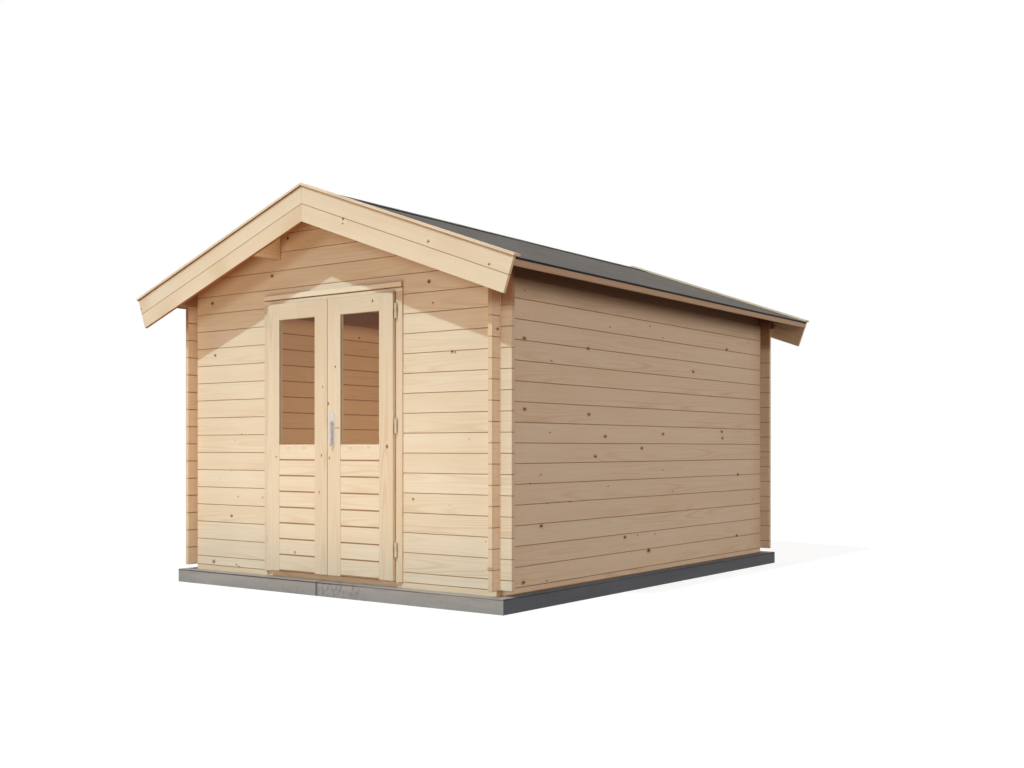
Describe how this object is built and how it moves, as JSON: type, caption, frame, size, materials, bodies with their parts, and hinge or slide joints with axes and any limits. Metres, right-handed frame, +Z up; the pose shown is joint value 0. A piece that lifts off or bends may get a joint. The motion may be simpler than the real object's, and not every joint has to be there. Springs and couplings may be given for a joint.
{
  "type": "log cabin",
  "caption": "Garden log cabin: interlocking pine log walls on a beam foundation, felted gable roof with deep verges, and a half-glazed double door in the gable end.",
  "frame": {"origin": "on the ground under the middle of the foundation", "axes": "+Z up, the door faces -Y, the roof ridge runs along Y"},
  "size_m": [3.296, 4.136, 2.5937],
  "materials": {
    "pine": "planed, untreated",
    "weathered_timber": "grey, weathered",
    "roofing_felt": "matt, fine mineral grit",
    "steel": "satin",
    "glass": "clear"
  },
  "bodies": {
    "cabin": {"plinth_end_beams": "weathered_timber", "plinth_side_beams": "weathered_timber", "end_sills": "pine", "side_sills": "pine", "left_wall_logs_a": "pine", "left_wall_logs_b": "pine", "right_wall_logs_a": "pine", "right_wall_logs_b": "pine", "left_eave_log": "pine", "right_eave_log": "pine", "back_wall_logs_a": "pine", "back_wall_logs_b": "pine", "front_left_logs_a": "pine", "front_left_logs_b": "pine", "front_right_logs_a": "pine", "front_right_logs_b": "pine", "front_gable_logs_a": "pine", "front_gable_logs_b": "pine", "purlins": "pine", "left_roof_boards": "pine", "right_roof_boards": "pine", "left_roof_felt": "roofing_felt", "right_roof_felt": "roofing_felt", "eave_fascias": "pine", "front_bargeboards": "pine", "back_bargeboards": "pine", "front_cap_boards": "pine", "back_cap_boards": "pine", "door_jambs": "pine", "door_head": "pine", "door_threshold": "pine", "door_drip_strip": "pine", "frame_hinge_halves": "steel"},
    "left_leaf": {"left_leaf_frame": "pine", "left_leaf_boards": "pine", "left_leaf_glass": "glass", "left_leaf_beads": "pine", "left_leaf_hinges": "steel"},
    "right_leaf": {"right_leaf_frame": "pine", "right_leaf_boards": "pine", "right_leaf_glass": "glass", "right_leaf_beads": "pine", "right_leaf_hinges": "steel", "handle_plate": "steel"},
    "lever": {"handle_lever": "steel"}
  },
  "joints": [
    {"name": "left_door_hinge", "type": "hinge", "parent": "cabin", "child": "left_leaf", "pos_m": [-0.571, -1.82, 0], "axis": [0, 0, -1], "range_deg": [0, 160]},
    {"name": "right_door_hinge", "type": "hinge", "parent": "cabin", "child": "right_leaf", "pos_m": [0.571, -1.82, 0], "axis": [0, 0, 1], "range_deg": [0, 160]},
    {"name": "door_handle_turn", "type": "hinge", "parent": "right_leaf", "child": "lever", "pos_m": [0.0485, -1.832, 1.107], "axis": [0, -1, 0], "range_deg": [0, 90]}
  ]
}
